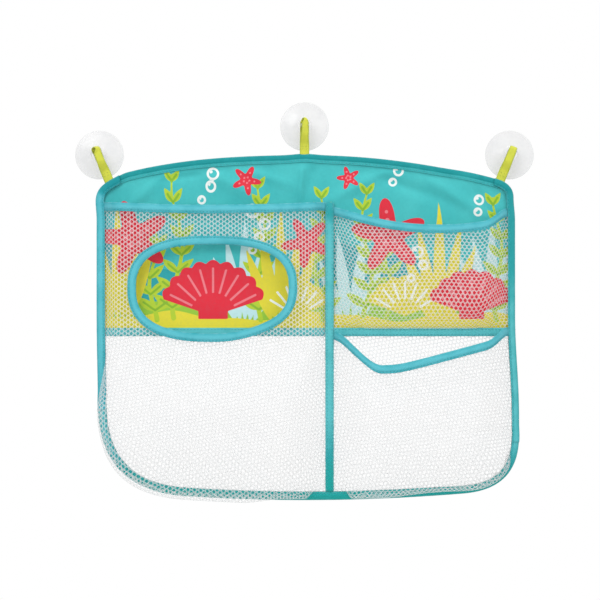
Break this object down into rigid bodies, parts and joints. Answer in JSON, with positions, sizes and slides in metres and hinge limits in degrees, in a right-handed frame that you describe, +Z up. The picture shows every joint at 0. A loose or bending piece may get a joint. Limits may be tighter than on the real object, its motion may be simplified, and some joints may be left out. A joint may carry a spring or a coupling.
{
  "type": "bath toy organizer",
  "caption": "Hanging bath toy organizer: arched cloth back with draining net pockets, a bound oval window, and suction cups on ribbon loops.",
  "frame": {"origin": "middle of the centre suction cup, on the wall", "axes": "+X to the right seen from the front, +Y into the wall, +Z up"},
  "size_m": [0.4614, 0.0484, 0.3989],
  "materials": {
    "print_cloth": "plain woven polyester with a printed upper face",
    "net": "knitted polyester net",
    "hem": "folded polyester tape",
    "binding": "folded woven tape",
    "ribbon": "ribbed woven ribbon",
    "clear_pvc": "soft clear PVC"
  },
  "bodies": {
    "bag": {"upper_back_panel": "print_cloth", "lower_back_net": "net", "waist_band": "binding", "top_binding": "hem", "left_binding": "binding", "right_binding": "binding", "bottom_binding": "binding", "divider_tape": "binding", "left_pocket_net": "net", "left_pocket_rim": "binding", "window_binding": "binding", "upper_pocket_net": "net", "upper_pocket_rim": "binding", "upper_pocket_base_tape": "binding", "lower_pocket_net": "net", "lower_pocket_rim": "binding"},
    "left_hanger": {"left_loop": "ribbon"},
    "left_cup": {"left_suction_cup": "clear_pvc"},
    "centre_hanger": {"centre_loop": "ribbon"},
    "centre_cup": {"centre_suction_cup": "clear_pvc"},
    "right_hanger": {"right_loop": "ribbon"},
    "right_cup": {"right_suction_cup": "clear_pvc"}
  },
  "joints": [
    {"name": "left_loop_fold", "type": "hinge", "parent": "bag", "child": "left_hanger", "pos_m": [-0.19574, -0.01, -0.05453], "axis": [0.9272, 0, 0.3746], "range_deg": [-90, 90]},
    {"name": "left_cup_tilt", "type": "hinge", "parent": "left_hanger", "child": "left_cup", "pos_m": [-0.20623, -0.013, -0.02857], "axis": [0.9272, 0, 0.3746], "range_deg": [-5, 45]},
    {"name": "centre_loop_fold", "type": "hinge", "parent": "bag", "child": "centre_hanger", "pos_m": [0, -0.01, -0.028], "axis": [1, 0, 0], "range_deg": [-90, 90]},
    {"name": "centre_cup_tilt", "type": "hinge", "parent": "centre_hanger", "child": "centre_cup", "pos_m": [0, -0.013, 0], "axis": [1, 0, 0], "range_deg": [-5, 45]},
    {"name": "right_loop_fold", "type": "hinge", "parent": "bag", "child": "right_hanger", "pos_m": [0.19574, -0.01, -0.05453], "axis": [0.9272, 0, -0.3746], "range_deg": [-90, 90]},
    {"name": "right_cup_tilt", "type": "hinge", "parent": "right_hanger", "child": "right_cup", "pos_m": [0.20623, -0.013, -0.02857], "axis": [0.9272, 0, -0.3746], "range_deg": [-5, 45]}
  ]
}
